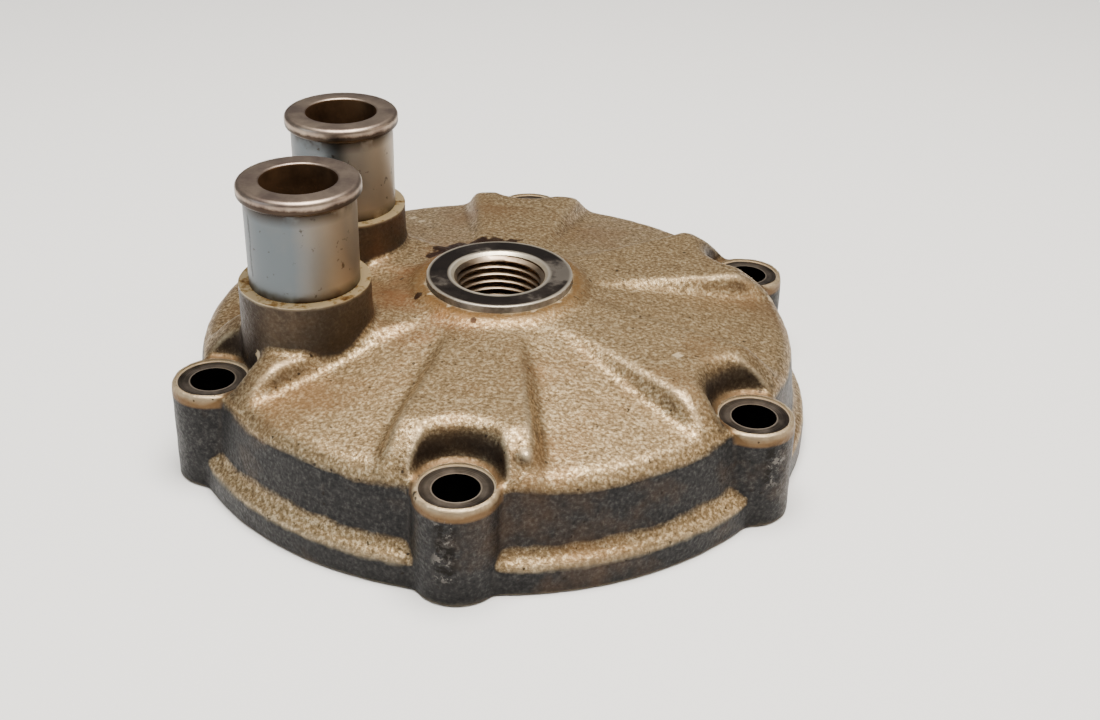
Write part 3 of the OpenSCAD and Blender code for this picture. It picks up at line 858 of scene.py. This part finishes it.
def make_spigot(name, at, materials):
    """Drawn tube with a rolled bead at its mouth."""
    looks = ["spigot", "bead", "bore"]
    bead_r = LIP_R + 0.05 * MM
    points = [
        (SPIGOT_BORE_R, SPIGOT_FOOT), (SPIGOT_R, SPIGOT_FOOT), (SPIGOT_R, SPIGOT_TOP - 2.25 * MM),
        (bead_r, SPIGOT_TOP - 1.95 * MM), (bead_r, SPIGOT_TOP), (SPIGOT_BORE_R, SPIGOT_TOP),
    ]
    profile = rounded(points, {2: 0.3 * MM, 3: 0.5 * MM, 4: 0.75 * MM, 5: 0.35 * MM}, 6)
    bm = spun(profile, 128)
    bmesh.ops.translate(bm, verts=bm.verts, vec=at)
    for face in bm.faces:
        middle = face.calc_center_median()
        r = (middle.xy - at.xy).length
        if r < SPIGOT_BORE_R + 0.05 * MM:
            face.material_index = looks.index("bore")
        elif middle.z > SPIGOT_TOP - 2.3 * MM:
            face.material_index = looks.index("bead")
    obj = to_object(bm, name + "_tube", [materials[k] for k in looks])
    return finish_piece(obj, "head", [name])


FACE_RING_W, NECK_RING_W = 2.3 * MM, 1.6 * MM


def make_o_ring(name, materials):
    """Ring whose cord is squeezed to the size of its groove."""
    lo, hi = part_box(name)
    depth = hi.z - lo.z
    width = FACE_RING_W if depth < 2 * MM else NECK_RING_W
    middle = hi.x - width / 2
    points = [(middle + sx * width / 2, (lo.z + hi.z) / 2 + sz * depth / 2)
              for sx, sz in ((-1, -1), (1, -1), (1, 1), (-1, 1))]
    least = min(width, depth)
    bm = spun(rounded(points, {i: least * 0.42 for i in range(4)}, 6), 192)
    return finish_piece(to_object(bm, name + "_cord", [materials["rubber"]]), "head", [name])


# ---------------------------------------------------------------- thermostat

def make_spring(materials):
    """Coil spring with closed ends that holds the thermostat valve shut."""
    lo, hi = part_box("main_spring")
    at = (lo + hi) / 2
    wire = 0.35 * MM
    mean = (hi.x - lo.x) / 2 - wire
    low, high = lo.z + wire, hi.z - wire
    turns, per_turn, sides = 6.0, 40, 12
    count = int(turns * per_turn)
    rings = []
    bm = bmesh.new()
    for i in range(count + 1):
        t = i / per_turn
        if t < 1:
            share = t * 2 * wire / (high - low)
        elif t > turns - 1:
            share = 1 - (turns - t) * 2 * wire / (high - low)
        else:
            end = 2 * wire / (high - low)
            share = end + (1 - 2 * end) * (t - 1) / (turns - 2)
        spoke = Vector((math.cos(t * TURN), math.sin(t * TURN), 0))
        centre = Vector((at.x, at.y, low + share * (high - low))) + spoke * mean
        rings.append([bm.verts.new(centre + (spoke * math.cos(a) + UP * math.sin(a)) * wire)
                      for a in (k * TURN / sides for k in range(sides))])
    for one, two in zip(rings, rings[1:]):
        for k in range(sides):
            bm.faces.new((one[k], one[(k + 1) % sides], two[(k + 1) % sides], two[k]))
    bm.faces.new(rings[0])
    bm.faces.new(rings[-1])
    bmesh.ops.recalc_face_normals(bm, faces=bm.faces)
    obj = finish_piece(to_object(bm, "main_spring_coil", [materials["spring"]]), "head",
                       ["main_spring"])
    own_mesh(obj)


CAD_FINISHES = {
    "thermostat_flange": "brass", "thermostat_bridge": "steel", "thermostat_cage": "steel",
    "thermostat_seal": "rubber", "thermostat_circlip": "spring", "piston_pin": "steel",
    "main_valve": "brass", "wax_cup": "brass", "wax_pellet": "wax", "rubber_boot": "rubber",
    "capsule_guide": "brass", "jiggle_pin": "brass",
}


def finish_cad_nodes(materials):
    """Gives the small pressed and turned thermostat pieces their own finishes."""
    for name, finish in CAD_FINISHES.items():
        mesh = frame["nodes"][name].data
        mesh.materials.clear()
        mesh.materials.append(materials[finish])


# ---------------------------------------------------------------- floor and run

def make_floor():
    bm = bmesh.new()
    bmesh.ops.create_grid(bm, x_segments=1, y_segments=1, size=2.5)
    material, shader = new_material("pale_floor")
    shader.inputs["Base Color"].default_value = srgb("#f1f0ee")
    shader.inputs["Roughness"].default_value = 0.9
    floor = to_object(bm, "floor", [material])
    floor.location.z = cad_bounds[0][2] - 0.0002


make_camera()
make_lights()
materials = make_materials()
make_floor()
make_head_cover(materials)
make_insert(materials)
for name, at in SPIGOTS.items():
    make_spigot(name + "_spigot", at, materials)
for name in ("neck_o_ring", "chamber_o_ring", "coolant_o_ring"):
    make_o_ring(name, materials)
make_spring(materials)
finish_cad_nodes(materials)
